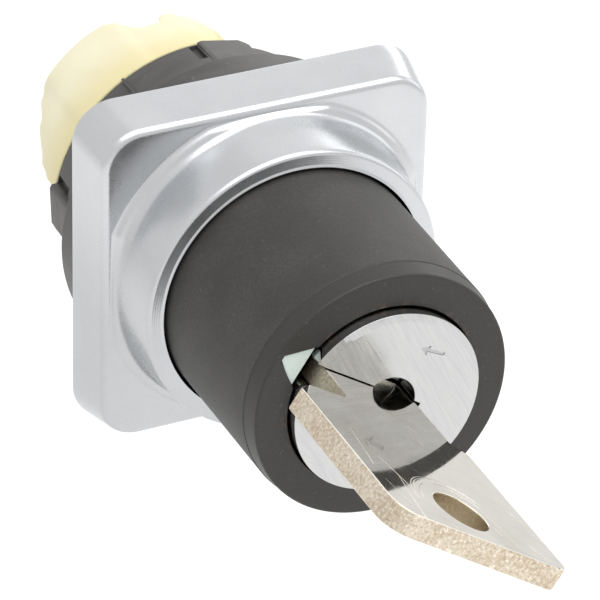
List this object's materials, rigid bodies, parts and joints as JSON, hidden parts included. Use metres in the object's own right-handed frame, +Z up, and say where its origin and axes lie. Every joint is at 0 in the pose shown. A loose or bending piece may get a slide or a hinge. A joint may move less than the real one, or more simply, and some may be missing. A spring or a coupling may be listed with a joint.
{
  "type": "selector key switch",
  "caption": "Key-operated rotary selector for a round panel hole: square metal bezel with collar, black turning barrel with lock and flat key, ring nut and lock ring behind.",
  "frame": {"origin": "centre of the panel hole, in the plane of the panel's front face", "axes": "+Y back through the panel along the switch's axis, +Z up, +X to the right seen from the front"},
  "size_m": [0.03, 0.0703, 0.03],
  "materials": {
    "satin_casting": "satin chromed die casting",
    "black_plastic": "finely textured black moulding",
    "nut_plastic": "smooth dark grey moulding",
    "cream_plastic": "translucent cream nylon",
    "pointer_plastic": "pale inlay",
    "nickel": "polished nickel plate",
    "key_nickel": "nickel-plated brass, scratched",
    "brass": "bare brass",
    "spring_steel": "spring steel",
    "zinc_steel": "zinc-plated steel",
    "seal_rubber": "black rubber",
    "guide_plastic": "grey moulding",
    "cam_plastic": "natural acetal"
  },
  "bodies": {
    "housing": {"bezel": "satin_casting", "panel_gasket": "seal_rubber", "shaft_seal": "seal_rubber", "stator_sleeve": "nickel", "stator_clip": "spring_steel", "detent_spring": "spring_steel", "pusher_guide": "guide_plastic", "guide_clip": "spring_steel", "return_spring_left": "spring_steel", "return_spring_right": "spring_steel"},
    "rotor": {"barrel": "black_plastic", "pointer_insert": "pointer_plastic", "lock_plug": "nickel", "drive_pins": "zinc_steel", "plug_clip": "spring_steel", "wafer_springs": "spring_steel", "cam": "cam_plastic", "cam_washer": "zinc_steel", "cam_screw": "zinc_steel"},
    "key": {"key": "key_nickel"},
    "wafers": {"wafers": "brass"},
    "pusher_left": {"pusher_left": "cam_plastic"},
    "pusher_right": {"pusher_right": "cam_plastic"},
    "mounting_nut": {"mounting_nut": "nut_plastic"},
    "lock_ring": {"lock_ring": "cream_plastic"}
  },
  "joints": [
    {"name": "key_turn", "type": "hinge", "parent": "housing", "child": "rotor", "pos_m": [0, 0, 0], "axis": [0, 1, 0], "range_deg": [0, 120], "deforming": ["detent_spring"]},
    {"name": "key_withdraw", "type": "slide", "parent": "rotor", "child": "key", "axis": [0, -1, 0], "range_m": [0, 0.026]},
    {"name": "wafer_lift", "type": "slide", "parent": "rotor", "child": "wafers", "axis": [-0.8387, 0, 0.5446], "range_m": [0, 0.00081], "deforming": ["wafer_springs"]},
    {"name": "push_left", "type": "slide", "parent": "housing", "child": "pusher_left", "axis": [0, 1, 0], "range_m": [-0.00201, 0], "deforming": ["return_spring_left"]},
    {"name": "push_right", "type": "slide", "parent": "housing", "child": "pusher_right", "axis": [0, 1, 0], "range_m": [0, 0.00201], "deforming": ["return_spring_right"]},
    {"name": "nut_travel", "type": "slide", "parent": "housing", "child": "mounting_nut", "axis": [0, 1, 0], "range_m": [0, 0.016]},
    {"name": "ring_twist", "type": "hinge", "parent": "mounting_nut", "child": "lock_ring", "pos_m": [0, 0.00895, 0], "axis": [0, 1, 0], "range_deg": [0, 30]}
  ],
  "couplings": [
    {"joint": "wafer_lift", "follows": "key_withdraw", "ratio": 0.0307},
    {"joint": "push_left", "follows": "key_turn", "m_per_rad": -0.000955},
    {"joint": "push_right", "follows": "key_turn", "m_per_rad": 0.000955}
  ]
}
